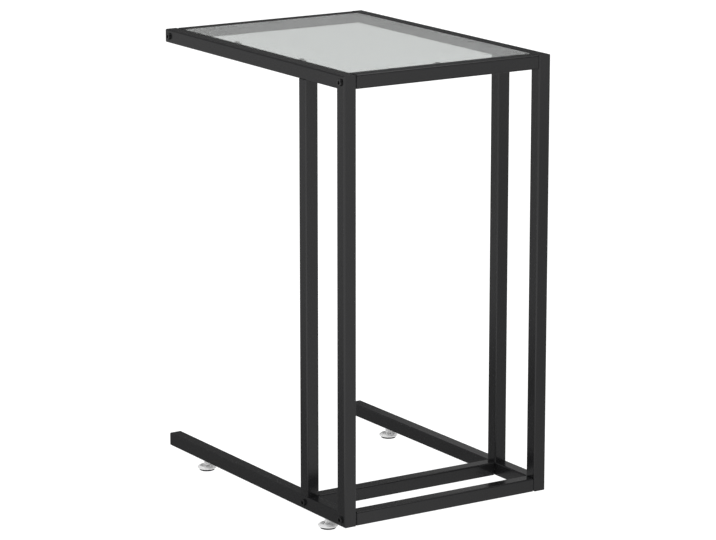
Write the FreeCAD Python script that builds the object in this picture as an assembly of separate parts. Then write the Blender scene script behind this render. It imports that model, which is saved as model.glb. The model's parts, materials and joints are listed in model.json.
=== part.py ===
import FreeCAD, Part
import math
import os

os.makedirs("parts", exist_ok=True)

# C-shaped side table: two side frames welded from square steel tube, four cross rails bolted between
# them, a glass pane lying inside the upper frame, and four screw-in levelling feet.
# The origin is on the floor under the middle of the table. X runs from the open front end to the closed
# rear end, Y from the left side frame to the right one, Z up. Millimetres.

# Frame: its height is from the underside of the bottom rails to the tops of the top rails
frame_length = 500.0
frame_width = 350.0
frame_height = 650.0
post_spacing = 100.0  # rear post to inner post, centre to centre

# Square steel tube
tube_side = 20.0
tube_wall = 1.2
tube_corner_radius = 2.0
tube_bore_radius = 0.8
tube_fit_clearance = 0.1  # on each side of a piece that slides into a tube
cross_rail_end_chamfer = 0.4  # on the outer edges of the cut ends
end_plate_thickness = 2.0

# Plastic plug in the free end of each bottom rail
plug_head_thickness = 4.0
plug_head_rounding = 1.2
plug_boss_length = 14.0
plug_boss_wall = 1.6
plug_rib_depth = 0.9
plug_rib_thickness = 1.4
plug_rib_count = 3

# Low-head socket bolts and the nut plates in the ends of the cross rails
bolt_diameter = 6.0
bolt_tip_reach = 4.0  # past the nut plate
bolt_tip_chamfer = 0.6
bolt_head_diameter = 10.0
bolt_head_height = 3.0
bolt_head_rounding = 0.5
bolt_socket_flats = 5.0
bolt_socket_depth = 2.0
bolt_hole_clearance = 0.3
nut_plate_thickness = 6.0
nut_plate_proud = 1.2  # past the cut ends of its cross rail, up against the side frame
thread_clearance = 0.05  # on the radius, in every threaded hole

# Glass pane
glass_thickness = 5.0
glass_clearance = 1.0
glass_corner_radius = 3.0
glass_edge_chamfer = 0.6

# Tabs and bumpers that the glass lies on
tab_reach = 16.0
tab_width = 12.0
tab_thickness = 2.0
tab_corner_radius = 4.0
tab_spacing = 180.0  # between the two tabs of a long rail
bumper_diameter = 9.0
bumper_top_diameter = 7.0
bumper_height = 1.5

# Levelling feet: the front ones by their distance from the open ends of the bottom rails
foot_front_setback = 93.0

# Rubber pad
pad_diameter = 23.0
pad_thickness = 3.0
pad_chamfer = 0.5

# Foot disc: bevelled, with a rounded rim and a dished ring around its hub
disc_diameter = 28.5
disc_height = 4.2
disc_rim_height = 2.0
disc_rim_rounding = 0.8
disc_top_diameter = 23.0
disc_land_width = 1.6
disc_hub_diameter = 11.0
disc_dish_depth = 1.6
disc_dish_slope = 0.8

# Foot stud: a button held in the disc, a neck, a hexagonal shoulder and a threaded end
stud_button_diameter = 9.0
stud_button_thickness = 1.6
stud_neck_diameter = 5.0
stud_shoulder_flats = 8.0
stud_shoulder_length = 8.3
stud_shoulder_face_diameter = 7.7  # of the flat rings inside the chamfers at its ends
stud_shoulder_chamfer_degrees = 30
stud_thread_diameter = 6.0
stud_headroom = 4.6  # from the stud's tip to the upper wall of the rail
stud_tip_chamfer = 0.8
swivel_clearance = 0.05
swivel_play = 0.2

# Threaded insert: a flange below the rail, a body through its wall and an upset collar above the wall
insert_flange_diameter = 11.5
insert_flange_thickness = 0.8
insert_body_diameter = 8.8
insert_body_length = 11.0
insert_collar_diameter = 11.0
insert_collar_height = 2.2
insert_hole_clearance = 0.1

overrun = 1.0  # how far cutting shapes pass the faces they cut

# Places that the pieces share
half_width = frame_width / 2
half_tube = tube_side / 2
bore_side = tube_side - 2 * tube_wall
fitted_side = bore_side - 2 * tube_fit_clearance
closed_end_x = (frame_length + plug_head_thickness) / 2
open_end_x = closed_end_x - frame_length
middle_x = (open_end_x + closed_end_x) / 2
front_cross_x = open_end_x + half_tube
rear_post_x = closed_end_x - half_tube
inner_post_x = rear_post_x - post_spacing
inner_face_y = half_width - tube_side
rail_y = half_width - half_tube
disc_top_z = pad_thickness + disc_height
shoulder_underside_z = disc_top_z + swivel_play
shoulder_top_z = shoulder_underside_z + stud_shoulder_length
bottom_z = shoulder_top_z + insert_flange_thickness
top_z = bottom_z + frame_height
bottom_rail_z = bottom_z + half_tube
top_rail_z = top_z - half_tube
glass_underside_z = top_z - glass_thickness
tab_top_z = glass_underside_z - bumper_height

vector = FreeCAD.Vector
along_x = vector(1, 0, 0)
along_y = vector(0, 1, 0)
along_z = vector(0, 0, 1)
sides = {"left": -1, "right": 1}


def save(name, shape):
    shape.exportStep("parts/" + name + ".step")


def place(shape, direction, point):
    """Turn a shape's own +Z to a direction and carry its origin to a point."""
    turned = shape.copy()
    turned.Placement = FreeCAD.Placement(point, FreeCAD.Rotation(along_z, direction))
    return turned


def upright(edge):
    return edge.Vertexes[0].Z != edge.Vertexes[-1].Z


def rounded_bar(side, radius, length):
    """A square bar along +Z, centred on its axis, with rounded long edges."""
    bar = Part.makeBox(side, side, length, vector(-side / 2, -side / 2, 0))
    return bar.makeFillet(radius, [edge for edge in bar.Edges if upright(edge)])


def bored(bar, length):
    """Cut the tube's bore along a bar of its outer shape."""
    bore = rounded_bar(bore_side, tube_bore_radius, length + 2 * overrun)
    bore.translate(vector(0, 0, -overrun))
    return bar.cut(bore)


def square_tube(length):
    return bored(rounded_bar(tube_side, tube_corner_radius, length), length)


def polygon_face(corners):
    return Part.Face(Part.makePolygon(corners + corners[:1]))


def hexagon_corner_radius(flats):
    return flats / math.sqrt(3)


def hexagon_prism(flats, length):
    turns = [math.radians(degrees) for degrees in range(0, 360, 60)]
    corners = [vector(math.cos(turn), math.sin(turn), 0) * hexagon_corner_radius(flats) for turn in turns]
    return polygon_face(corners).extrude(vector(0, 0, length))


def turned_piece(outline):
    """Revolve an outline of (radius, height) points round the Z axis."""
    face = polygon_face([vector(radius, 0, height) for radius, height in outline])
    return face.revolve(vector(0, 0, 0), along_z, 360)


def slab_across(outline):
    """A slab right across the table, with an outline drawn from the side as (x, z) points."""
    face = polygon_face([vector(x, -half_width - overrun, z) for x, z in outline])
    return face.extrude(vector(0, frame_width + 2 * overrun, 0))


# Cross rails: the x and z where each one's axis meets the side frames
cross_rail_places = {
    "front_top_cross_rail": (front_cross_x, top_rail_z),
    "rear_top_cross_rail": (rear_post_x, top_rail_z),
    "rear_bottom_cross_rail": (rear_post_x, bottom_rail_z),
    "inner_bottom_cross_rail": (inner_post_x, bottom_rail_z),
}

# Feet: under the middle of each bottom rail, the rear ones midway between the posts
foot_places = {
    side + "_" + end + "_foot": vector(x, sign * rail_y, 0)
    for side, sign in sides.items()
    for end, x in (("front", open_end_x + foot_front_setback), ("rear", (rear_post_x + inner_post_x) / 2))
}

# Holes in the side frames, for the bolts and for the feet's threaded inserts
bolt_hole_radius = bolt_diameter / 2 + bolt_hole_clearance
bolt_hole_start_y = -half_width - overrun
bolt_holes = [
    Part.makeCylinder(bolt_hole_radius, frame_width + 2 * overrun, vector(x, bolt_hole_start_y, z), along_y)
    for x, z in cross_rail_places.values()
]
insert_hole_radius = insert_body_diameter / 2 + insert_hole_clearance
insert_holes = [
    Part.makeCylinder(insert_hole_radius, tube_wall + 2 * overrun, point + vector(0, 0, bottom_z - overrun))
    for point in foot_places.values()
]

# Mitres at the closed end: the slab that each rail or rear post keeps of its tube
mitre_inside_x = closed_end_x - tube_side - overrun
mitre_outside_x = closed_end_x + overrun


def rail_slab(outer_z, inward):
    """Square at the open end and mitred at the closed end; inward is 1 on the bottom rail, -1 on the top."""
    outside_z = outer_z - inward * overrun
    inside_z = outer_z + inward * (tube_side + overrun)
    return slab_across([(open_end_x - overrun, outside_z), (mitre_outside_x, outside_z),
                        (mitre_inside_x, inside_z), (open_end_x - overrun, inside_z)])


rear_post_slab = slab_across([(mitre_outside_x, bottom_z - overrun), (mitre_outside_x, top_z + overrun),
                              (mitre_inside_x, top_z - tube_side - overrun),
                              (mitre_inside_x, bottom_z + tube_side + overrun)])

# Side frames: rails and rear post mitred together, the inner post butted between the rails
rail_tube = square_tube(frame_length)
rear_post_tube = square_tube(frame_height)
inner_post_tube = square_tube(frame_height - 2 * tube_side)
for side, sign in sides.items():
    y = sign * rail_y
    top_rail = place(rail_tube, along_x, vector(open_end_x, y, top_rail_z))
    bottom_rail = place(rail_tube, along_x, vector(open_end_x, y, bottom_rail_z))
    rear_post = place(rear_post_tube, along_z, vector(rear_post_x, y, bottom_z))
    save(side + "_top_rail", top_rail.common(rail_slab(top_z, -1)).cut(bolt_holes))
    save(side + "_bottom_rail", bottom_rail.common(rail_slab(bottom_z, 1)).cut(bolt_holes + insert_holes))
    save(side + "_rear_post", rear_post.common(rear_post_slab).cut(bolt_holes))
    save(side + "_inner_post", place(inner_post_tube, along_z, vector(inner_post_x, y, bottom_z + tube_side)))

# End plates, set into the open ends of the top rails and ground flush
end_plate = rounded_bar(fitted_side, tube_bore_radius, end_plate_thickness)
for side, sign in sides.items():
    save(side + "_top_end_plate", place(end_plate, along_x, vector(open_end_x, sign * rail_y, top_rail_z)))

# End plugs: a rounded head outside the tube and a hollow ribbed boss inside it
plug_head = rounded_bar(tube_side, tube_corner_radius, plug_head_thickness)
plug_face_edges = [edge for edge in plug_head.Edges if edge.BoundBox.ZMax < plug_head_thickness / 2]
end_plug = plug_head.makeFillet(plug_head_rounding, plug_face_edges)
boss_side = fitted_side - 2 * plug_rib_depth
end_plug = end_plug.fuse(rounded_bar(boss_side, tube_bore_radius, plug_head_thickness + plug_boss_length))
rib_spacing = plug_boss_length / plug_rib_count
for rib_number in range(plug_rib_count):
    rib = rounded_bar(fitted_side, tube_bore_radius, plug_rib_thickness)
    rib.translate(vector(0, 0, plug_head_thickness + rib_spacing * rib_number + rib_spacing / 2))
    end_plug = end_plug.fuse(rib)
boss_hollow = rounded_bar(boss_side - 2 * plug_boss_wall, tube_bore_radius, plug_boss_length + overrun)
boss_hollow.translate(vector(0, 0, plug_head_thickness))
end_plug = end_plug.cut(boss_hollow)
for side, sign in sides.items():
    plug_face = vector(open_end_x - plug_head_thickness, sign * rail_y, bottom_rail_z)
    save(side + "_bottom_end_plug", place(end_plug, along_x, plug_face))

# Cross rails, cut square with their end edges broken. A threaded nut plate, welded into each end, stands
# proud of the cut and butts against the side frame.
cross_rail_end_y = inner_face_y - nut_plate_proud
cross_rail_length = 2 * cross_rail_end_y
cross_rail = rounded_bar(tube_side, tube_corner_radius, cross_rail_length)
cut_edges = [edge for edge in cross_rail.Edges if not upright(edge)]
cross_rail = bored(cross_rail.makeChamfer(cross_rail_end_chamfer, cut_edges), cross_rail_length)
for name, (x, z) in cross_rail_places.items():
    save(name, place(cross_rail, along_y, vector(x, -cross_rail_end_y, z)))
bolt_radius = bolt_diameter / 2
nut_thread = Part.makeCylinder(bolt_radius + thread_clearance, nut_plate_thickness + 2 * overrun,
                               vector(0, 0, -overrun))
nut_plate = rounded_bar(fitted_side, tube_bore_radius, nut_plate_thickness).cut(nut_thread)
nut_plates = [place(nut_plate, along_y * -sign, vector(x, sign * inner_face_y, z))
              for x, z in cross_rail_places.values() for sign in sides.values()]
save("cross_rail_nut_plates", Part.makeCompound(nut_plates))

# Bolts: a low round head with a hexagon socket, and a shank through the side frame into the nut plate
bolt_length = tube_side + nut_plate_thickness + bolt_tip_reach
bolt_head = Part.makeCylinder(bolt_head_diameter / 2, bolt_head_height)
crown_edges = [edge for edge in bolt_head.Edges if edge.BoundBox.ZMin > bolt_head_height / 2]
bolt_head = bolt_head.makeFillet(bolt_head_rounding, crown_edges)
socket = hexagon_prism(bolt_socket_flats, bolt_socket_depth + overrun)
socket.translate(vector(0, 0, bolt_head_height - bolt_socket_depth))
bolt_shank = turned_piece([(0, 0), (bolt_radius, 0), (bolt_radius, bolt_tip_chamfer - bolt_length),
                           (bolt_radius - bolt_tip_chamfer, -bolt_length), (0, -bolt_length)])
bolt = bolt_head.cut(socket).fuse(bolt_shank)
bolts = [place(bolt, along_y * sign, vector(x, sign * half_width, z))
         for x, z in cross_rail_places.values() for sign in sides.values()]
save("frame_bolts", Part.makeCompound(bolts))

# Glass tabs, welded to the inner faces of the rails, each with a soft bumper on top: x, y and turn
tab = Part.makeBox(tab_reach, tab_width, tab_thickness, vector(0, -tab_width / 2, -tab_thickness))
free_corners = [edge for edge in tab.Edges if upright(edge) and edge.CenterOfMass.x > tab_reach / 2]
tab = tab.makeFillet(tab_corner_radius, free_corners)
bumper = turned_piece([(0, 0), (bumper_diameter / 2, 0), (bumper_top_diameter / 2, bumper_height),
                       (0, bumper_height)])
bumper.translate(vector(tab_reach - tab_width / 2, 0, 0))
tab_places = {
    "front": (open_end_x + tube_side, 0, 0),
    "rear": (closed_end_x - tube_side, 0, 180),
    "left_front": (middle_x - tab_spacing / 2, -inner_face_y, 90),
    "left_rear": (middle_x + tab_spacing / 2, -inner_face_y, 90),
    "right_front": (middle_x - tab_spacing / 2, inner_face_y, -90),
    "right_rear": (middle_x + tab_spacing / 2, inner_face_y, -90),
}
for name, (x, y, turn) in tab_places.items():
    seat = FreeCAD.Placement(vector(x, y, tab_top_z), FreeCAD.Rotation(along_z, turn)).toMatrix()
    save(name + "_glass_tab", tab.transformed(seat))
    save(name + "_glass_bumper", bumper.transformed(seat))

# Glass pane, flush with the tops of the rails, with rounded corners and ground edges
glass_length = frame_length - 2 * tube_side - 2 * glass_clearance
glass_width = 2 * inner_face_y - 2 * glass_clearance
glass_corner = vector(middle_x - glass_length / 2, -glass_width / 2, glass_underside_z)
glass = Part.makeBox(glass_length, glass_width, glass_thickness, glass_corner)
glass = glass.makeFillet(glass_corner_radius, [edge for edge in glass.Edges if upright(edge)])
glass = glass.makeChamfer(glass_edge_chamfer, [edge for edge in glass.Edges if not upright(edge)])
save("glass_pane", glass)

# Foot pad
pad_radius = pad_diameter / 2
foot_pad = turned_piece([(0, 0), (pad_radius - pad_chamfer, 0), (pad_radius, pad_chamfer),
                         (pad_radius, pad_thickness), (0, pad_thickness)])

# Foot disc, on the pad, with a socket underneath that holds the stud's button
disc_radius = disc_diameter / 2
land_radius = disc_top_diameter / 2
dish_radius = land_radius - disc_land_width
hub_radius = disc_hub_diameter / 2
dish_z = disc_top_z - disc_dish_depth
neck_hole_radius = stud_neck_diameter / 2 + swivel_clearance
socket_radius = stud_button_diameter / 2 + swivel_clearance
socket_top_z = pad_thickness + stud_button_thickness + 2 * swivel_play
foot_disc = turned_piece([
    (neck_hole_radius, socket_top_z), (socket_radius, socket_top_z), (socket_radius, pad_thickness),
    (disc_radius, pad_thickness), (disc_radius, pad_thickness + disc_rim_height), (land_radius, disc_top_z),
    (dish_radius, disc_top_z), (dish_radius - disc_dish_slope, dish_z),
    (hub_radius + disc_dish_slope, dish_z), (hub_radius, disc_top_z), (neck_hole_radius, disc_top_z),
])
rim_edges = [edge for edge in foot_disc.Edges if edge.BoundBox.YLength > disc_radius + land_radius]
foot_disc = foot_disc.makeFillet(disc_rim_rounding, rim_edges)

# Foot stud, swivelling in the disc, with its shoulder up against the insert
button_radius = stud_button_diameter / 2
button_underside_z = pad_thickness + swivel_play
button_top_z = button_underside_z + stud_button_thickness
neck_radius = stud_neck_diameter / 2
thread_radius = stud_thread_diameter / 2
stud_top_z = bottom_z + tube_side - tube_wall - stud_headroom
stud_shaft = turned_piece([
    (0, button_underside_z), (button_radius, button_underside_z), (button_radius, button_top_z),
    (neck_radius, button_top_z), (neck_radius, shoulder_underside_z), (thread_radius, shoulder_underside_z),
    (thread_radius, stud_top_z - stud_tip_chamfer), (thread_radius - stud_tip_chamfer, stud_top_z),
    (0, stud_top_z),
])
shoulder = hexagon_prism(stud_shoulder_flats, stud_shoulder_length)
shoulder_face_radius = stud_shoulder_face_diameter / 2
turning_radius = hexagon_corner_radius(stud_shoulder_flats) + overrun
chamfer_slope = math.tan(math.radians(stud_shoulder_chamfer_degrees))
chamfer_height = (turning_radius - shoulder_face_radius) * chamfer_slope
shoulder = shoulder.common(turned_piece([
    (0, 0), (shoulder_face_radius, 0), (turning_radius, chamfer_height),
    (turning_radius, stud_shoulder_length - chamfer_height), (shoulder_face_radius, stud_shoulder_length),
    (0, stud_shoulder_length),
]))
shoulder.translate(vector(0, 0, shoulder_underside_z))
foot_stud = stud_shaft.fuse(shoulder)

# Threaded insert, clamped on the lower wall of the rail between its flange and its upset collar
insert_bore_radius = thread_radius + thread_clearance
insert_radius = insert_body_diameter / 2
flange_radius = insert_flange_diameter / 2
collar_radius = insert_collar_diameter / 2
wall_top_z = bottom_z + tube_wall
collar_top_z = wall_top_z + insert_collar_height
insert_top_z = bottom_z + insert_body_length
foot_insert = turned_piece([
    (insert_bore_radius, shoulder_top_z), (flange_radius, shoulder_top_z), (flange_radius, bottom_z),
    (insert_radius, bottom_z), (insert_radius, wall_top_z), (collar_radius, wall_top_z),
    (collar_radius, collar_top_z), (insert_radius, collar_top_z), (insert_radius, insert_top_z),
    (insert_bore_radius, insert_top_z),
])

foot_pieces = {"pad": foot_pad, "disc": foot_disc, "stud": foot_stud, "insert": foot_insert}
for foot, point in foot_places.items():
    for piece_name, piece in foot_pieces.items():
        save(foot + "_" + piece_name, piece.translated(point))
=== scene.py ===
import json
import math

import bmesh
import bpy
from mathutils import Matrix, Vector


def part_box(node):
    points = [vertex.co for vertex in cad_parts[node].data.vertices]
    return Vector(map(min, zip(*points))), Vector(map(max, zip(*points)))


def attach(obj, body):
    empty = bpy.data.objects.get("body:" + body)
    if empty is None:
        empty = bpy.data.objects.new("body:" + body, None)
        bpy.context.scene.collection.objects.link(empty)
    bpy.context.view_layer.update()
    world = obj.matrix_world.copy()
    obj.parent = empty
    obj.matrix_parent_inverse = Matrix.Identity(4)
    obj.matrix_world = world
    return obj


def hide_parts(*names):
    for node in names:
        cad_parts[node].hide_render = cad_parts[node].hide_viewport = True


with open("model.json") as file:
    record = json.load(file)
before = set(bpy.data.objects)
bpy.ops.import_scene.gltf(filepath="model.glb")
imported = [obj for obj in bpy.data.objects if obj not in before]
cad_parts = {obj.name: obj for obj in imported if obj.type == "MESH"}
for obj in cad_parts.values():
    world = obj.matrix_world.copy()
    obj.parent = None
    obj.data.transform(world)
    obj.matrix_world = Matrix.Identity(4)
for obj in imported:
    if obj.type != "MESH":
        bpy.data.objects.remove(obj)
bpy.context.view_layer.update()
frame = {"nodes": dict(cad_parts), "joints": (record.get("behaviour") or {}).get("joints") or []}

# Side frames, cross rails, end plates, nut plates and glass tabs
# Square steel tube with thin walls, mitred and welded into two side frames, with four loose rails across.
# The plates and tabs are steel too, welded on before the frames and rails were powder coated black.
mm = 0.001
side_names = ("left", "right")
tube_names = ("top_rail", "bottom_rail", "rear_post", "inner_post")
cross_rail_names = ("front_top_cross_rail", "rear_top_cross_rail",
                    "rear_bottom_cross_rail", "inner_bottom_cross_rail")
foot_names = [f"{side}_{end}" for side in side_names for end in ("front", "rear")]
tab_names = ["front", "rear", *foot_names]


def linear(hex_code):
    """An sRGB hex colour as the linear RGBA that a colour socket takes."""
    channels = [int(hex_code[i:i + 2], 16) / 255 for i in (1, 3, 5)]
    return [c / 12.92 if c <= 0.04045 else ((c + 0.055) / 1.055) ** 2.4 for c in channels] + [1.0]


def add_node(tree, kind, inputs={}, **settings):
    """Adds a node. Each input is a value for its socket, or an output socket to link to it."""
    node = tree.nodes.new(kind)
    for name, value in settings.items():
        setattr(node, name, value)
    for name, value in inputs.items():
        if isinstance(value, bpy.types.NodeSocket):
            tree.links.new(value, node.inputs[name])
        else:
            node.inputs[name].default_value = value
    return node


def new_material(name):
    """A material with an empty node tree, that tree and the Object coordinates in it."""
    material = bpy.data.materials.new(name)
    material.use_nodes = True
    tree = material.node_tree
    tree.nodes.clear()
    place = add_node(tree, "ShaderNodeTexCoord").outputs["Object"]
    return material, tree, place


def coat_nodes(material, names):
    """Gives CAD nodes a material."""
    for name in names:
        for slot in frame["nodes"][name].material_slots:
            slot.material = material


# Polyester powder, sprayed and baked: a deep black, half-glossy skin, which flowed out into a faint orange
# peel.
peel_width = 2.6 * mm
peel_height = 0.009 * mm
speck_width = 0.5 * mm
powder_coat, tree, place = new_material("black_polyester_powder_coat")
peel = add_node(tree, "ShaderNodeTexNoise", {"Vector": place, "Scale": 1 / peel_width, "Detail": 1.5})
specks = add_node(tree, "ShaderNodeTexNoise", {"Vector": place, "Scale": 1 / speck_width, "Detail": 1.0})
gloss = add_node(tree, "ShaderNodeMapRange", {
    "Value": specks.outputs["Fac"], "From Min": 0.3, "From Max": 0.7, "To Min": 0.17, "To Max": 0.23})
skin = add_node(tree, "ShaderNodeBump", {
    "Height": peel.outputs["Fac"], "Strength": 1.0, "Distance": peel_height})
shader = add_node(tree, "ShaderNodeBsdfPrincipled", {
    "Base Color": linear("#151516"), "Roughness": gloss.outputs["Result"], "IOR": 1.5,
    "Normal": skin.outputs["Normal"]})
add_node(tree, "ShaderNodeOutputMaterial", {"Surface": shader.outputs["BSDF"]})
coat_nodes(powder_coat, [f"{side}_{tube}" for side in side_names for tube in tube_names])
coat_nodes(powder_coat, cross_rail_names)
coat_nodes(powder_coat, [f"{side}_top_end_plate" for side in side_names])
coat_nodes(powder_coat, ["cross_rail_nut_plates"])
coat_nodes(powder_coat, [f"{tab}_glass_tab" for tab in tab_names])

# Bottom rail end plugs
# Black polyethylene, injection moulded and pressed into the open ends of the two bottom rails.
# The mould was spark eroded, which leaves the heads finely grained and duller than the coat.
grain_width = 0.35 * mm
grain_height = 0.012 * mm
plug_plastic, tree, place = new_material("black_moulded_polyethylene")
grain = add_node(tree, "ShaderNodeTexNoise", {"Vector": place, "Scale": 1 / grain_width, "Detail": 3.0})
skin = add_node(tree, "ShaderNodeBump", {
    "Height": grain.outputs["Fac"], "Strength": 1.0, "Distance": grain_height})
gloss = add_node(tree, "ShaderNodeMapRange", {"Value": grain.outputs["Fac"], "To Min": 0.38, "To Max": 0.5})
shader = add_node(tree, "ShaderNodeBsdfPrincipled", {
    "Base Color": linear("#161617"), "Roughness": gloss.outputs["Result"], "IOR": 1.51,
    "Normal": skin.outputs["Normal"]})
add_node(tree, "ShaderNodeOutputMaterial", {"Surface": shader.outputs["BSDF"]})
coat_nodes(plug_plastic, [f"{side}_bottom_end_plug" for side in side_names])

# Frame bolts
# M6 low-head socket bolts of black oxidised steel, cold headed and thread rolled, 30 mm long.
# One passes through both walls of a side frame at each end of each cross rail, into the nut plate there.
quarter_turn = math.radians(90)
ring_steps = 48
bridge_lift = 100.0 * mm
merge_distance = 0.004 * mm
sharp_angle = math.radians(32)
thread_pitch = 1.0 * mm
thread_run_in = 1.5 * thread_pitch
thread_radius = 3.0 * mm
thread_root_radius = 2.387 * mm
thread_crest_width = 0.125 * mm
thread_root_width = 0.167 * mm
undercut_radius = 2.35 * mm
undercut_length = 0.6 * mm
bolt_length = 30.0 * mm
bolt_tip_chamfer = 0.6 * mm
bolt_head_radius = 5.0 * mm
bolt_head_height = 3.0 * mm
bolt_head_rounding = 0.5 * mm
bolt_head_steps = 6
socket_flats = 5.0 * mm
socket_depth = 2.0 * mm
socket_lead_in = 0.15 * mm
socket_drill_depth = 0.6 * mm
hexagon_corners = 6
hexagon_corner_ratio = 2 / math.sqrt(3)
tightened_turn = math.radians(37)


def add_thread(mesh, start, end, tip_chamfer):
    """A rolled thread along Z in an empty mesh, chamfered at its end. Returns the edges round each end."""
    flank_width = (thread_pitch - thread_crest_width - thread_root_width) / 2
    lead = start - thread_run_in
    turns = math.ceil((end - lead) / thread_pitch)
    profile = [mesh.verts.new((thread_root_radius, 0, lead))]
    for radius, rise in ((thread_root_radius, thread_root_width), (thread_radius, flank_width),
                         (thread_radius, thread_crest_width), (thread_root_radius, flank_width)):
        profile.append(mesh.verts.new((radius, 0, profile[-1].co.z + rise)))
    for lower, upper in zip(profile, profile[1:]):
        mesh.edges.new((lower, upper))
    bmesh.ops.spin(mesh, geom=mesh.verts[:] + mesh.edges[:], cent=(0, 0, 0), axis=(0, 0, 1),
                   dvec=(0, 0, thread_pitch / ring_steps), angle=math.tau * turns, steps=ring_steps * turns)
    bmesh.ops.remove_doubles(mesh, verts=mesh.verts, dist=merge_distance)
    for height, below, above in ((start, True, False), (end, False, True)):
        bmesh.ops.bisect_plane(mesh, geom=mesh.verts[:] + mesh.edges[:] + mesh.faces[:],
                               plane_co=(0, 0, height), plane_no=(0, 0, 1),
                               clear_inner=below, clear_outer=above)
    for vert in mesh.verts:
        radius = vert.co.xy.length
        vert.co.xy *= min(1, (thread_radius - tip_chamfer + end - vert.co.z) / radius)
    middle = (start + end) / 2
    rims = [edge for edge in mesh.edges if edge.is_boundary]
    return ([edge for edge in rims if edge.verts[0].co.z < middle],
            [edge for edge in rims if edge.verts[0].co.z > middle])


def add_ring(mesh, radius, height, corners=ring_steps):
    """Edges of a level ring about Z, round or with a few corners, which lie at the radius."""
    verts = bmesh.ops.create_circle(mesh, segments=ring_steps, radius=radius)["verts"]
    half_side = math.pi / corners
    for vert in verts:
        turn = math.atan2(vert.co.y, vert.co.x) % (2 * half_side) - half_side
        vert.co.xy *= math.cos(half_side) / math.cos(turn)
    bmesh.ops.translate(mesh, vec=(0, 0, height), verts=verts)
    return list(dict.fromkeys(edge for vert in verts for edge in vert.link_edges))


def bridge_rings(mesh, rings):
    """Walls from each ring to the next, lifted meanwhile so that two rings at one height can't twist."""
    for ring, next_ring in zip(rings, rings[1:]):
        lifted = list({vert for edge in next_ring for vert in edge.verts})
        bmesh.ops.translate(mesh, vec=(0, 0, bridge_lift), verts=lifted)
        bmesh.ops.bridge_loops(mesh, edges=ring + next_ring)
        bmesh.ops.translate(mesh, vec=(0, 0, -bridge_lift), verts=lifted)


def finish_mesh(mesh, name):
    """A bmesh as mesh data, smooth but for its sharp edges."""
    data = bpy.data.meshes.new(name)
    mesh.to_mesh(data)
    mesh.free()
    data.shade_smooth()
    data.set_sharp_from_angle(angle=sharp_angle)
    return data


def add_piece(name, data, material):
    """A new object with a material."""
    piece = bpy.data.objects.new(name, data)
    data.materials.append(material)
    bpy.context.scene.collection.objects.link(piece)
    return piece


bolt = bmesh.new()
thread_start, thread_end = add_thread(bolt, undercut_length, bolt_length, bolt_tip_chamfer)
bmesh.ops.edgeloop_fill(bolt, edges=thread_end)
crown = []
for step in range(bolt_head_steps + 1):
    turn = quarter_turn * step / bolt_head_steps
    crown.append(add_ring(bolt, bolt_head_radius - bolt_head_rounding * (1 - math.cos(turn)),
                          bolt_head_rounding * (1 - math.sin(turn)) - bolt_head_height))
socket_radius = socket_flats / 2 * hexagon_corner_ratio
socket_floor = socket_depth - bolt_head_height
bridge_rings(bolt, [
    thread_start,
    add_ring(bolt, undercut_radius, undercut_length / 2),
    add_ring(bolt, undercut_radius, 0),
    add_ring(bolt, bolt_head_radius, 0),
    *crown,
    add_ring(bolt, socket_radius + socket_lead_in, -bolt_head_height),
    add_ring(bolt, socket_radius, socket_lead_in - bolt_head_height, corners=hexagon_corners),
    add_ring(bolt, socket_radius, socket_floor, corners=hexagon_corners),
    add_ring(bolt, socket_flats / 2, socket_floor)])
drill_rim = [edge for edge in bolt.edges if edge.is_boundary]
drill_cone = bmesh.ops.extrude_edge_only(bolt, edges=drill_rim)
drill_tip = [item for item in drill_cone["geom"] if isinstance(item, bmesh.types.BMVert)]
bmesh.ops.pointmerge(bolt, verts=drill_tip, merge_co=(0, 0, socket_floor + socket_drill_depth))
bmesh.ops.recalc_face_normals(bolt, faces=bolt.faces)
bolt_data = finish_mesh(bolt, "frame_bolt")

bolts = bmesh.new()
for rail_index, rail in enumerate(cross_rail_names):
    rail_middle = sum(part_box(rail), Vector()) / 2
    for side in side_names:
        outward = 1 if side == "right" else -1
        rail_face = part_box(f"{side}_top_rail")[side == "right"].y
        placed = bolt_data.copy()
        placed.transform(Matrix.Rotation(tightened_turn * (2 * rail_index + outward), 4, "Z"))
        placed.transform(Matrix.Rotation(outward * quarter_turn, 4, "X"))
        placed.transform(Matrix.Translation((rail_middle.x, rail_face, rail_middle.z)))
        bolts.from_mesh(placed)

# Black oxide, grown in a hot salt bath and oiled: a thin near-black skin, a little patchy in its gloss.
oxide_width = 0.9 * mm
bolt_steel, tree, place = new_material("black_oxide_steel")
oxide = add_node(tree, "ShaderNodeTexNoise", {"Vector": place, "Scale": 1 / oxide_width, "Detail": 2.0})
gloss = add_node(tree, "ShaderNodeMapRange", {"Value": oxide.outputs["Fac"], "To Min": 0.26, "To Max": 0.38})
tone = add_node(tree, "ShaderNodeMix", {
    "Factor": oxide.outputs["Fac"], "A": linear("#09090A"), "B": linear("#131314")}, data_type="RGBA")
shader = add_node(tree, "ShaderNodeBsdfPrincipled", {
    "Base Color": tone.outputs["Result"], "Roughness": gloss.outputs["Result"], "IOR": 1.6})
add_node(tree, "ShaderNodeOutputMaterial", {"Surface": shader.outputs["BSDF"]})
frame_bolts = add_piece("frame_bolts_threaded", finish_mesh(bolts, "frame_bolts_threaded"), bolt_steel)
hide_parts("frame_bolts")
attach(frame_bolts, "frame")

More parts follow.
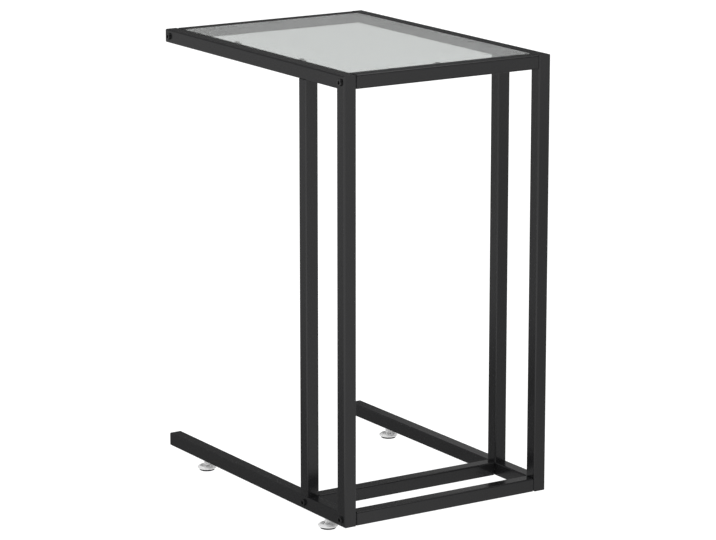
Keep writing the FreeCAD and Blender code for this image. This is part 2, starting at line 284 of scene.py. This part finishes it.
# Glass bumpers
# Clear silicone buttons, moulded and stuck on the tabs so that the pane rests on something soft.
# The black tab shows through them, with a soft skin that has a slight haze.
haze_width = 0.6 * mm
bumper_silicone, tree, place = new_material("clear_moulded_silicone")
haze = add_node(tree, "ShaderNodeTexNoise", {"Vector": place, "Scale": 1 / haze_width, "Detail": 2.0})
gloss = add_node(tree, "ShaderNodeMapRange", {"Value": haze.outputs["Fac"], "To Min": 0.1, "To Max": 0.3})
shader = add_node(tree, "ShaderNodeBsdfPrincipled", {
    "Base Color": linear("#F4F6F5"), "Roughness": gloss.outputs["Result"], "IOR": 1.41,
    "Transmission Weight": 1.0})
add_node(tree, "ShaderNodeOutputMaterial", {"Surface": shader.outputs["BSDF"]})
coat_nodes(bumper_silicone, [f"{tab}_glass_bumper" for tab in tab_names])

# Glass pane
# Toughened float glass with ground edges, lying loose on the bumpers, flush with the tube tops.
# It is lightly tinted grey, so a white floor looks pale grey through it.
wipe_mark_width = 30.0 * mm
wipe_mark_stretch = 5.0
pane_glass, tree, place = new_material("grey_tinted_float_glass")
# The faces are clear but for faint wipe marks along the pane. The ground edges and their arrises are matt.
wiped = add_node(tree, "ShaderNodeMapping", {"Vector": place, "Scale": (1 / wipe_mark_stretch, 1, 1)})
wipe_marks = add_node(tree, "ShaderNodeTexNoise", {
    "Vector": wiped.outputs["Vector"], "Scale": 1 / wipe_mark_width, "Detail": 2.0})
face_gloss = add_node(tree, "ShaderNodeMapRange", {
    "Value": wipe_marks.outputs["Fac"], "From Min": 0.5, "From Max": 0.8, "To Min": 0.0, "To Max": 0.02})
upward = add_node(tree, "ShaderNodeSeparateXYZ", {"Vector": place.node.outputs["Normal"]})
level = add_node(tree, "ShaderNodeMath", {0: upward.outputs["Z"]}, operation="ABSOLUTE")
gloss = add_node(tree, "ShaderNodeMapRange", {
    "Value": level.outputs["Value"], "From Min": 0.8, "From Max": 0.95, "To Min": 0.4,
    "To Max": face_gloss.outputs["Result"]})
shader = add_node(tree, "ShaderNodeBsdfPrincipled", {
    "Base Color": linear("#D3D7D5"), "Roughness": gloss.outputs["Result"], "IOR": 1.52,
    "Transmission Weight": 1.0})
add_node(tree, "ShaderNodeOutputMaterial", {"Surface": shader.outputs["BSDF"]})
coat_nodes(pane_glass, ["glass_pane"])

# Foot inserts
# Steel rivet nuts, zinc plated, pulled up from below so that a collar grips the wall of the bottom rail.
# Bright zinc is bluish grey, with a faint cloudy bloom.
bloom_width = 1.5 * mm
insert_zinc, tree, place = new_material("zinc_plated_steel")
bloom = add_node(tree, "ShaderNodeTexNoise", {"Vector": place, "Scale": 1 / bloom_width, "Detail": 3.0})
gloss = add_node(tree, "ShaderNodeMapRange", {"Value": bloom.outputs["Fac"], "To Min": 0.25, "To Max": 0.45})
tone = add_node(tree, "ShaderNodeMix", {
    "Factor": bloom.outputs["Fac"], "A": linear("#B9BEC5"), "B": linear("#CFD0CE")}, data_type="RGBA")
shader = add_node(tree, "ShaderNodeBsdfPrincipled", {
    "Base Color": tone.outputs["Result"], "Metallic": 1.0, "Roughness": gloss.outputs["Result"]})
add_node(tree, "ShaderNodeOutputMaterial", {"Surface": shader.outputs["BSDF"]})
coat_nodes(insert_zinc, [f"{foot}_foot_insert" for foot in foot_names])

# Levelling feet: discs and studs
# The disc is turned from steel. Its stud, hexagonal bar with a rolled M6 thread, is held in it by a button
# and turns freely. Both are nickel plated.
stud_button_radius = 4.5 * mm
stud_button_thickness = 1.6 * mm
stud_button_edge = 0.2 * mm
stud_neck_radius = 2.5 * mm
stud_neck_length = 2.6 * mm
shoulder_flats = 8.0 * mm
shoulder_length = 8.3 * mm
shoulder_face_radius = 3.85 * mm
shoulder_chamfer_slope = math.tan(math.radians(30))
stud_tip_chamfer = 0.8 * mm
feet_lows, feet_highs = zip(*[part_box(f"{foot}_foot_stud") for foot in foot_names])
stud_low = feet_lows[0].z
stud_high = feet_highs[0].z

stud = bmesh.new()
neck_low = stud_low + stud_button_thickness
shoulder_low = neck_low + stud_neck_length
shoulder_high = shoulder_low + shoulder_length
thread_start, thread_end = add_thread(stud, shoulder_high + undercut_length, stud_high, stud_tip_chamfer)
bmesh.ops.edgeloop_fill(stud, edges=thread_end)
shoulder_corner = shoulder_flats / 2 * hexagon_corner_ratio
lower_hexagon = add_ring(stud, shoulder_corner, shoulder_low, corners=hexagon_corners)
upper_hexagon = add_ring(stud, shoulder_corner, shoulder_high, corners=hexagon_corners)
for hexagon, inward in ((lower_hexagon, 1), (upper_hexagon, -1)):
    for vert in {vert for edge in hexagon for vert in edge.verts}:
        vert.co.z += inward * shoulder_chamfer_slope * (vert.co.xy.length - shoulder_face_radius)
button_foot = add_ring(stud, stud_button_radius - stud_button_edge, stud_low)
bridge_rings(stud, [
    button_foot,
    add_ring(stud, stud_button_radius, stud_low + stud_button_edge),
    add_ring(stud, stud_button_radius, neck_low - stud_button_edge),
    add_ring(stud, stud_button_radius - stud_button_edge, neck_low),
    add_ring(stud, stud_neck_radius, neck_low),
    add_ring(stud, stud_neck_radius, shoulder_low),
    add_ring(stud, shoulder_face_radius, shoulder_low),
    lower_hexagon,
    upper_hexagon,
    add_ring(stud, shoulder_face_radius, shoulder_high),
    add_ring(stud, undercut_radius, shoulder_high),
    add_ring(stud, undercut_radius, shoulder_high + undercut_length / 2),
    thread_start])
bmesh.ops.edgeloop_fill(stud, edges=button_foot)
bmesh.ops.recalc_face_normals(stud, faces=stud.faces)
stud_data = finish_mesh(stud, "foot_stud")

# Satin nickel over steel that was turned and then finely blasted: a pale plain grey that scatters light all
# round like frost, with the turning marks still faint in it, as rings about each foot's axis.
# The four axes lie alike about the middle of the feet, so one folded set of rings serves them all.
# Real turning marks are about 0.1 mm apart, drawn three times as coarse here to show.
turning_mark_width = 0.3 * mm
turning_mark_height = 0.003 * mm
wave_radians_per_unit = 20
cloud_width = 4.0 * mm
feet_middle = sum(feet_lows + feet_highs, Vector()) / (2 * len(foot_names))
axis_offset = (feet_lows[0] + feet_highs[0]) / 2 - feet_middle
foot_nickel, tree, place = new_material("satin_nickel_plated_steel")
centred = add_node(tree, "ShaderNodeMapping", {"Vector": place, "Location": -feet_middle})
folded = add_node(tree, "ShaderNodeVectorMath", {0: centred.outputs["Vector"]}, operation="ABSOLUTE")
about_axis = add_node(tree, "ShaderNodeMapping", {
    "Vector": folded.outputs["Vector"], "Location": (-abs(axis_offset.x), -abs(axis_offset.y), 0)})
ring_scale = math.tau / (wave_radians_per_unit * turning_mark_width)
rings = add_node(tree, "ShaderNodeTexWave", {
    "Vector": about_axis.outputs["Vector"], "Scale": ring_scale, "Distortion": 1.0,
    "Detail Scale": 3.0}, wave_type="RINGS", rings_direction="Z")
clouds = add_node(tree, "ShaderNodeTexNoise", {"Vector": place, "Scale": 1 / cloud_width, "Detail": 3.0})
gloss = add_node(tree, "ShaderNodeMapRange", {
    "Value": clouds.outputs["Fac"], "To Min": 0.42, "To Max": 0.54})
tone = add_node(tree, "ShaderNodeMix", {
    "Factor": clouds.outputs["Fac"], "A": linear("#E2E2E2"), "B": linear("#EFEFEF")}, data_type="RGBA")
skin = add_node(tree, "ShaderNodeBump", {
    "Height": rings.outputs["Fac"], "Strength": 1.0, "Distance": turning_mark_height})
shader = add_node(tree, "ShaderNodeBsdfPrincipled", {
    "Base Color": tone.outputs["Result"], "Metallic": 0.15, "Roughness": gloss.outputs["Result"],
    "Normal": skin.outputs["Normal"]})
add_node(tree, "ShaderNodeOutputMaterial", {"Surface": shader.outputs["BSDF"]})
coat_nodes(foot_nickel, [f"{foot}_foot_disc" for foot in foot_names])
for foot, low, high in zip(foot_names, feet_lows, feet_highs):
    placed = stud_data.copy()
    placed.transform(Matrix.Translation(((low.x + high.x) / 2, (low.y + high.y) / 2, 0)))
    foot_stud = add_piece(f"{foot}_foot_stud_threaded", placed, foot_nickel)
    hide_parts(f"{foot}_foot_stud")
    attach(foot_stud, f"{foot}_stud")

# Foot pads
# Black rubber, moulded and glued under the discs. It has a matt, slightly dusty skin.
rubber_grain_width = 0.4 * mm
rubber_grain_height = 0.02 * mm
pad_rubber, tree, place = new_material("black_moulded_rubber")
grain = add_node(tree, "ShaderNodeTexNoise", {
    "Vector": place, "Scale": 1 / rubber_grain_width, "Detail": 3.0})
tone = add_node(tree, "ShaderNodeMix", {
    "Factor": grain.outputs["Fac"], "A": linear("#1B1B1C"), "B": linear("#2A2A2B")}, data_type="RGBA")
gloss = add_node(tree, "ShaderNodeMapRange", {"Value": grain.outputs["Fac"], "To Min": 0.7, "To Max": 0.9})
skin = add_node(tree, "ShaderNodeBump", {
    "Height": grain.outputs["Fac"], "Strength": 1.0, "Distance": rubber_grain_height})
shader = add_node(tree, "ShaderNodeBsdfPrincipled", {
    "Base Color": tone.outputs["Result"], "Roughness": gloss.outputs["Result"], "IOR": 1.52,
    "Normal": skin.outputs["Normal"]})
add_node(tree, "ShaderNodeOutputMaterial", {"Surface": shader.outputs["BSDF"]})
coat_nodes(pad_rubber, [f"{foot}_foot_pad" for foot in foot_names])

# Camera
# The photograph's viewpoint, solved from the straight edges of the frame: beyond the closed end and to the
# left of it, a little above the table, through a long lens.
image_width_px = 716
focal_length_px = 3262.4
camera_azimuth = math.radians(57.376)
camera_elevation = math.radians(13.139)
camera_place = Vector((3.9902, -2.5453, 1.4265))
look = Vector((-math.sin(camera_azimuth) * math.cos(camera_elevation),
               math.cos(camera_azimuth) * math.cos(camera_elevation),
               -math.sin(camera_elevation)))
camera_data = bpy.data.cameras.new("camera")
camera_data.sensor_width = 36.0
camera_data.lens = camera_data.sensor_width * focal_length_px / image_width_px
camera = bpy.data.objects.new("camera", camera_data)
camera.location = camera_place
camera.rotation_euler = look.to_track_quat("-Z", "Y").to_euler()
bpy.context.scene.collection.objects.link(camera)
bpy.context.scene.camera = camera

# Studio
# A sweep of white acrylic, the floor and the walls round it, lit from behind so that no shadow shows on it,
# with one large softbox above. It lies as low as the feet reach when they are screwed right out.
sweep_radius = 7.0
sweep_bend = 4.0
sweep_height = 20.0
sweep_light = 0.93
bend_steps = 16
turn_steps = 96
foot_travel = max(joint["range_m"][1] for joint in frame["joints"] if joint["name"].endswith("foot_height"))
sweep_mesh = bmesh.new()
floor_line = [sweep_mesh.verts.new((0, 0, 0)), sweep_mesh.verts.new((sweep_radius, 0, 0))]
sweep_mesh.edges.new(floor_line)
bend = bmesh.ops.spin(sweep_mesh, geom=[floor_line[1]], cent=(sweep_radius, 0, sweep_bend), axis=(0, -1, 0),
                      angle=quarter_turn, steps=bend_steps)
wall_foot = bend["geom_last"][0]
wall_top = sweep_mesh.verts.new((sweep_radius + sweep_bend, 0, sweep_height))
sweep_mesh.edges.new((wall_foot, wall_top))
bmesh.ops.spin(sweep_mesh, geom=sweep_mesh.verts[:] + sweep_mesh.edges[:], cent=(0, 0, 0), axis=(0, 0, 1),
               angle=math.tau, steps=turn_steps, use_merge=True)
bmesh.ops.remove_doubles(sweep_mesh, verts=sweep_mesh.verts, dist=mm)
bmesh.ops.translate(sweep_mesh, vec=(0, 0, -foot_travel), verts=sweep_mesh.verts)
bmesh.ops.recalc_face_normals(sweep_mesh, faces=sweep_mesh.faces)
bmesh.ops.reverse_faces(sweep_mesh, faces=sweep_mesh.faces)
# Its faces point up and in. Seen from below it is clear, so that the undersides of the table show too.
acrylic, tree, place = new_material("backlit_white_acrylic")
shader = add_node(tree, "ShaderNodeBsdfPrincipled", {
    "Base Color": linear("#7C7C7C"), "Roughness": 0.9, "Emission Color": linear("#FFFFFF"),
    "Emission Strength": sweep_light})
clear = add_node(tree, "ShaderNodeBsdfTransparent")
outer_face = add_node(tree, "ShaderNodeNewGeometry").outputs["Backfacing"]
one_way = add_node(tree, "ShaderNodeMixShader", {
    0: outer_face, 1: shader.outputs["BSDF"], 2: clear.outputs["BSDF"]})
add_node(tree, "ShaderNodeOutputMaterial", {"Surface": one_way.outputs["Shader"]})
sweep = add_piece("studio_sweep", finish_mesh(sweep_mesh, "studio_sweep"), acrylic)
sweep.visible_glossy = False

# Glossy faces see this floor in place of the sweep: bright in front, and dim in the table's shade.
# The closed end's faces mirror the floor out to the right, and the left side's faces mirror it to the left.
# Each light is what one stretch of floor gives. Each fade is where, in metres from the middle of the table,
# one light passes into the next.
rightward = (math.sin(camera_azimuth), math.cos(camera_azimuth), 0)
frontward = (math.cos(camera_azimuth), -math.sin(camera_azimuth), 0)
front_light = 1.1
front_fade = (0.3, 0.7)
right_fade = (0.0, 0.25)
near_right_lights = (0.46, 0.76)
near_right_fade = (-0.1, 0.27)
far_right_light = 0.85
far_right_fade = (3.3, 4.3)
near_left_light = 0.2
left_fade = (-1.1, -0.5)
far_left_lights = (0.49, 0.29)
far_left_fade = (-0.05, 0.2)


def add_fade(tree, value, ends, lights=(0.0, 1.0), curve="SMOOTHSTEP"):
    """An output that passes from one light to another while a value crosses a fade from end to end."""
    return add_node(tree, "ShaderNodeMapRange", {
        "Value": value, "From Min": ends[0], "From Max": ends[1], "To Min": lights[0], "To Max": lights[1]},
        interpolation_type=curve).outputs["Result"]


shade_mesh = bmesh.new()
bmesh.ops.create_circle(shade_mesh, cap_ends=True, segments=turn_steps, radius=sweep_radius + sweep_bend)
bmesh.ops.translate(shade_mesh, vec=(0, 0, -foot_travel), verts=shade_mesh.verts)
shaded_floor, tree, place = new_material("floor_with_table_shade")
right_step = add_node(tree, "ShaderNodeVectorMath", {0: place, 1: rightward}, operation="DOT_PRODUCT")
front_step = add_node(tree, "ShaderNodeVectorMath", {0: place, 1: frontward}, operation="DOT_PRODUCT")
to_right = right_step.outputs["Value"]
to_front = front_step.outputs["Value"]
far_left_light = add_fade(tree, to_front, far_left_fade, far_left_lights, "LINEAR")
left_light = add_fade(tree, to_right, left_fade, (far_left_light, near_left_light))
near_right_light = add_fade(tree, to_front, near_right_fade, near_right_lights, "LINEAR")
right_light = add_node(tree, "ShaderNodeMix", {
    "Factor": add_fade(tree, to_right, far_right_fade), "A": near_right_light, "B": far_right_light})
side_light = add_node(tree, "ShaderNodeMix", {
    "Factor": add_fade(tree, to_right, right_fade), "A": left_light, "B": right_light.outputs["Result"]})
floor_light = add_node(tree, "ShaderNodeMix", {
    "Factor": add_fade(tree, to_front, front_fade), "A": side_light.outputs["Result"], "B": front_light})
glow = add_node(tree, "ShaderNodeEmission", {
    "Color": linear("#FFFFFF"), "Strength": floor_light.outputs["Result"]})
add_node(tree, "ShaderNodeOutputMaterial", {"Surface": glow.outputs["Emission"]})
shade = add_piece("shaded_floor", finish_mesh(shade_mesh, "shaded_floor"), shaded_floor)

# A strip of white card stands low behind the table, to the right, and shows only in the tops of the bottom
# rails, which grow lighter towards it. Its ends lean to the right.
strip_light = 0.35
strip_distance = 1.2
strip_offset = 0.56
strip_length = 0.85
strip_lift = 0.405
strip_height = 0.25
strip_lean = 0.225
line_of_sight = look.xy.normalized().to_3d()
across_sight = line_of_sight.cross(Vector((0, 0, 1)))
strip_middle = strip_distance * line_of_sight + strip_offset * across_sight + Vector((0, 0, strip_lift))
strip_mesh = bmesh.new()
strip_corners = []
for along, up in ((-1, -1), (1, -1), (1, 1), (-1, 1)):
    sideways = (along * strip_length + up * strip_lean) / 2
    from_middle = sideways * across_sight + Vector((0, 0, up * strip_height / 2))
    strip_corners.append(strip_mesh.verts.new(strip_middle + from_middle))
strip_mesh.faces.new(strip_corners)
strip_card, tree, place = new_material("lit_white_card")
glow = add_node(tree, "ShaderNodeEmission", {"Color": linear("#FFFFFF"), "Strength": strip_light})
add_node(tree, "ShaderNodeOutputMaterial", {"Surface": glow.outputs["Emission"]})
strip = add_piece("strip_card", finish_mesh(strip_mesh, "strip_card"), strip_card)
for reflected in (shade, strip):
    reflected.visible_camera = False
    reflected.visible_diffuse = False
    reflected.visible_transmission = False
    reflected.visible_shadow = False

softbox_side = 3.5
softbox_height = 2.8
softbox_watts = 40.0
softbox = bpy.data.lights.new("softbox", "AREA")
softbox.size = softbox_side
softbox.energy = softbox_watts
softbox_lamp = bpy.data.objects.new("softbox", softbox)
softbox_lamp.location = (0, 0, softbox_height)
bpy.context.scene.collection.objects.link(softbox_lamp)

# The room above the sweep is dim, and darkest low down behind the table, where a wide strip of grey card
# shows in the glass. The fades run over sines of heights, cosines of turns from straight behind, and
# distances from the card's middle.
room_light = 0.26
room_fade = [math.cos(math.radians(degrees)) for degrees in (46, 28)]
back_light = 0.16
dark_light = 0.02
dark_fade = [math.sin(math.radians(degrees)) for degrees in (11, 18)]
card_light = 0.33
card_fade = (0.065, 0.09)
card_flatness = 5.0
to_glass = (sum(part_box("glass_pane"), Vector()) / 2 - camera_place).normalized()
behind = to_glass.reflect(Vector((0, 0, 1)))
surround = bpy.data.worlds.new("studio_surround")
bpy.context.scene.world = surround
surround.use_nodes = True
tree = surround.node_tree
tree.nodes.clear()
ray = add_node(tree, "ShaderNodeTexCoord").outputs["Generated"]
level_ray = add_node(tree, "ShaderNodeVectorMath", {0: ray, 1: (1, 1, 0)}, operation="MULTIPLY")
heading = add_node(tree, "ShaderNodeVectorMath", {0: level_ray.outputs["Vector"]}, operation="NORMALIZE")
nearness = add_node(tree, "ShaderNodeVectorMath", {
    0: heading.outputs["Vector"], 1: behind.xy.normalized().to_3d()}, operation="DOT_PRODUCT")
height = add_node(tree, "ShaderNodeSeparateXYZ", {"Vector": ray})
back = add_fade(tree, height.outputs["Z"], dark_fade, (dark_light, back_light))
room = add_fade(tree, nearness.outputs["Value"], room_fade, (room_light, back))
off_card = add_node(tree, "ShaderNodeVectorMath", {0: ray, 1: behind}, operation="SUBTRACT")
stretched = add_node(tree, "ShaderNodeVectorMath", {
    0: off_card.outputs["Vector"], 1: (1, 1, card_flatness)}, operation="MULTIPLY")
distance = add_node(tree, "ShaderNodeVectorMath", {0: stretched.outputs["Vector"]}, operation="LENGTH")
card = add_fade(tree, distance.outputs["Value"], card_fade, (card_light, 0.0))
light = add_node(tree, "ShaderNodeMath", {0: room, 1: card})
background = add_node(tree, "ShaderNodeBackground", {
    "Color": linear("#FFFFFF"), "Strength": light.outputs["Value"]})
add_node(tree, "ShaderNodeOutputWorld", {"Surface": background.outputs["Background"]})
bpy.context.scene.view_settings.view_transform = "Standard"
